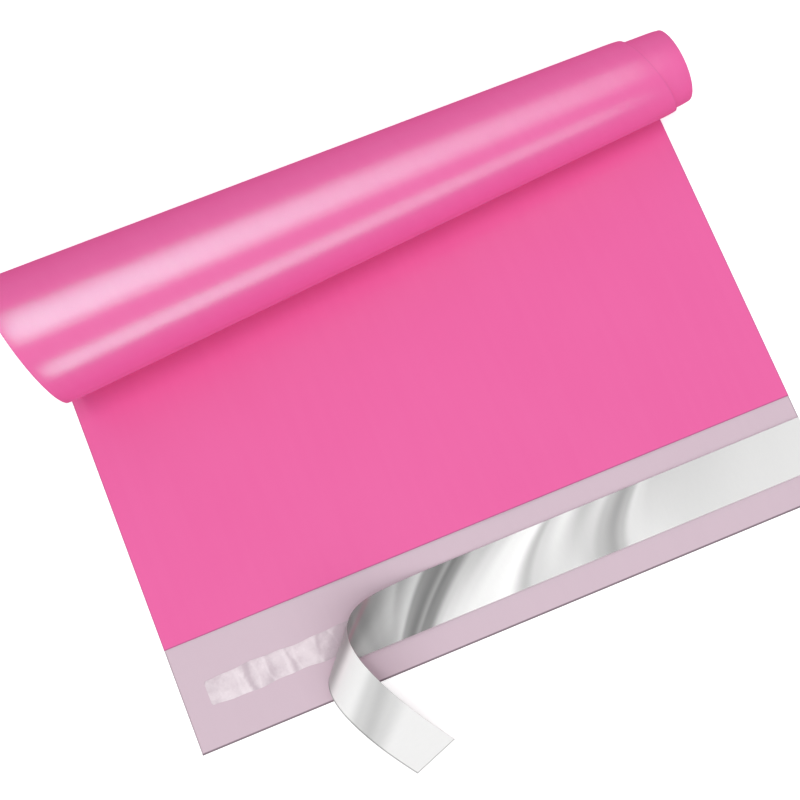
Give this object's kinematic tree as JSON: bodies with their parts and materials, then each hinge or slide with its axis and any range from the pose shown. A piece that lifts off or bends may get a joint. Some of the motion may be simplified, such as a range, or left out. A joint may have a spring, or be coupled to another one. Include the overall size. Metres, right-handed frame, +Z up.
{
  "type": "poly mailer bag",
  "caption": "Flat pink film mailing pouch with an open mouth, its closing flap laid out with adhesive and a half-peeled release liner, and its far end rolled up.",
  "frame": {"origin": "middle of the whole object's box in plan, on the surface that it lies on", "axes": "+X across the bag, from the wide end of the roll to its narrow end; +Y from the flap towards the rolled end; +Z up"},
  "size_m": [0.2724, 0.225, 0.053],
  "materials": {
    "film": "satin polyethylene film, pink outside and pale mauve inside",
    "adhesive": "clear, slightly wrinkled tacky adhesive over the pale film",
    "liner": "smooth silvery release film, paler on its back"
  },
  "bodies": {
    "root": {"bag": "film", "adhesive_strip": "adhesive", "release_liner": "liner"}
  },
  "joints": []
}
